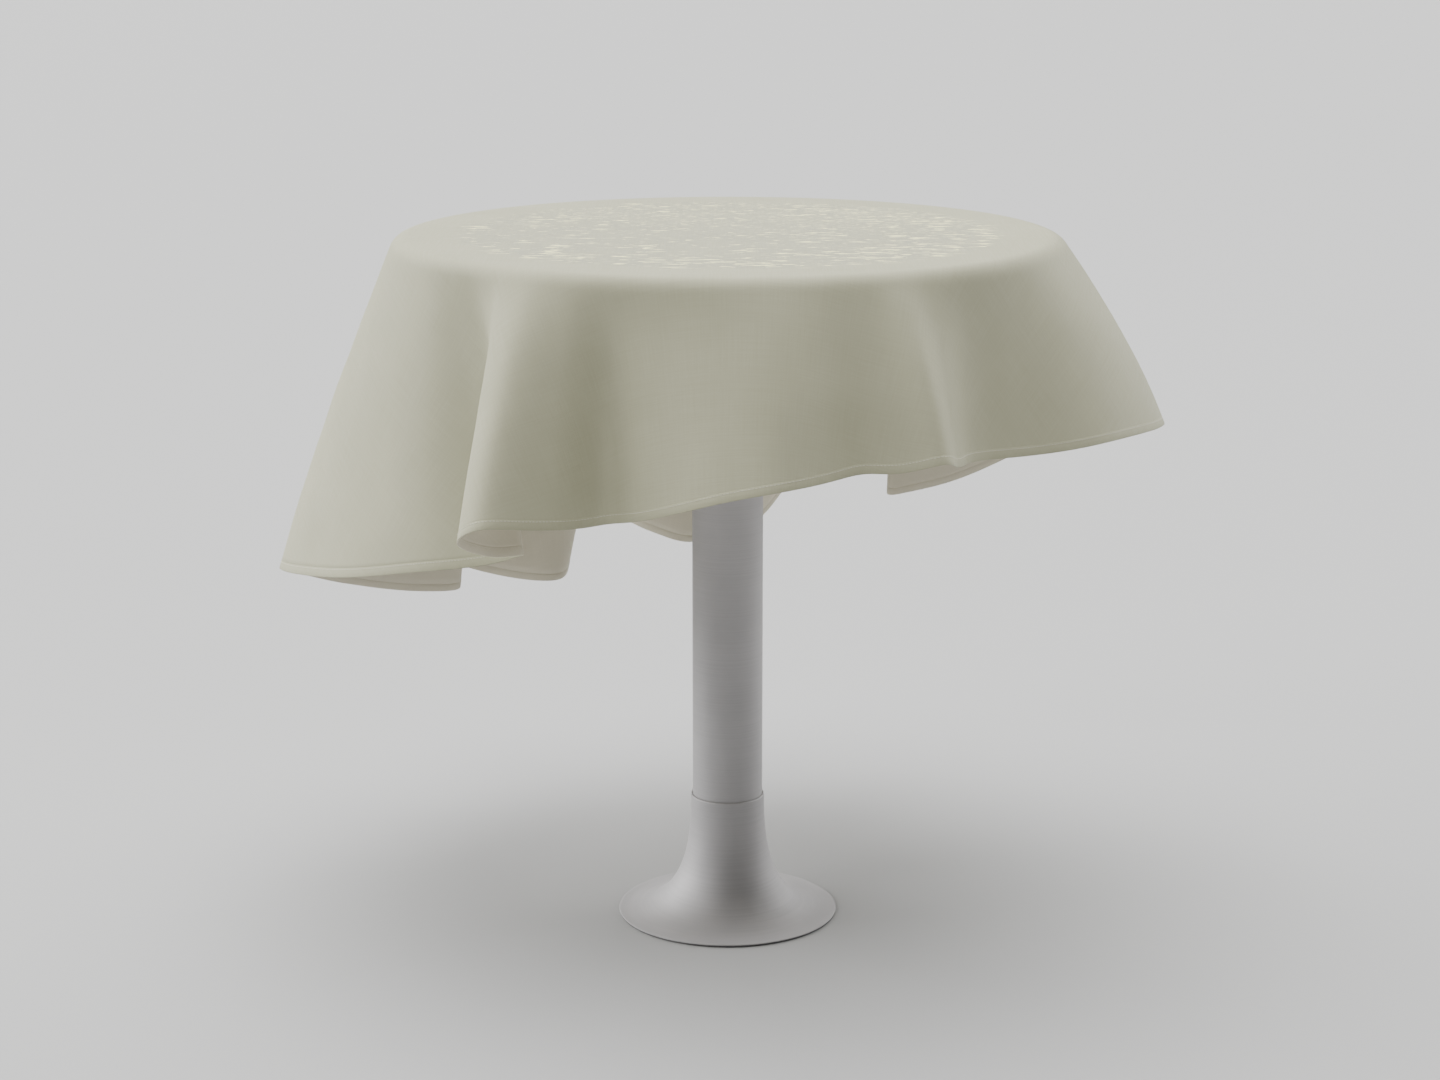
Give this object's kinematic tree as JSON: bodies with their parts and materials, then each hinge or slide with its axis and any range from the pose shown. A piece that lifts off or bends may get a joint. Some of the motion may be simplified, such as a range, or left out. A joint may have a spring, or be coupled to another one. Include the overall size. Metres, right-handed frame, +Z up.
{
  "type": "table with tablecloth",
  "caption": "Round cafe table with an off-centre round tablecloth hanging in folds, on a steel column with a sliding bell-shaped cover over its floor flange.",
  "frame": {"origin": "on the floor, at the column's axis, on the underside of the floor flange", "axes": "+Z up along the column; -Y towards the side where the cloth hangs short and shows its lapped fold at the left, +X to the right seen from that side"},
  "size_m": [0.9577, 0.9809, 0.7518],
  "materials": {
    "cloth_weave": "matte",
    "cloth_hem": "matte",
    "satin_steel": "satin",
    "black_casting": "matte",
    "zinc_plate": "satin",
    "chipboard": "matte",
    "pale_laminate": "satin",
    "backing_sheet": "matte",
    "beech_band": "satin",
    "nylon": "satin",
    "grey_rubber": "matte"
  },
  "bodies": {
    "table": {"floor_flange": "black_casting", "column_tube": "satin_steel", "tie_rod": "zinc_plate", "spider": "black_casting", "spider_washer": "zinc_plate", "spider_nut": "zinc_plate", "spider_screw_1": "zinc_plate", "spider_screw_2": "zinc_plate", "spider_screw_3": "zinc_plate", "spider_screw_4": "zinc_plate", "spider_screw_5": "zinc_plate", "spider_screw_6": "zinc_plate", "spider_screw_7": "zinc_plate", "spider_screw_8": "zinc_plate", "tabletop_core": "chipboard", "top_laminate": "pale_laminate", "backing_laminate": "backing_sheet", "edge_band": "beech_band"},
    "cover": {"bell_cover": "satin_steel", "neck_liner": "nylon", "rim_gasket": "grey_rubber"},
    "cloth": {"tablecloth": "cloth_weave", "hem_band": "cloth_hem"}
  },
  "joints": [
    {"name": "cover_slide", "type": "slide", "parent": "table", "child": "cover", "axis": [0, 0, 1], "range_m": [0, 0.54]},
    {"name": "cloth_lift", "type": "slide", "parent": "table", "child": "cloth", "axis": [0, 0, 1], "range_m": [0, 0.5]}
  ]
}
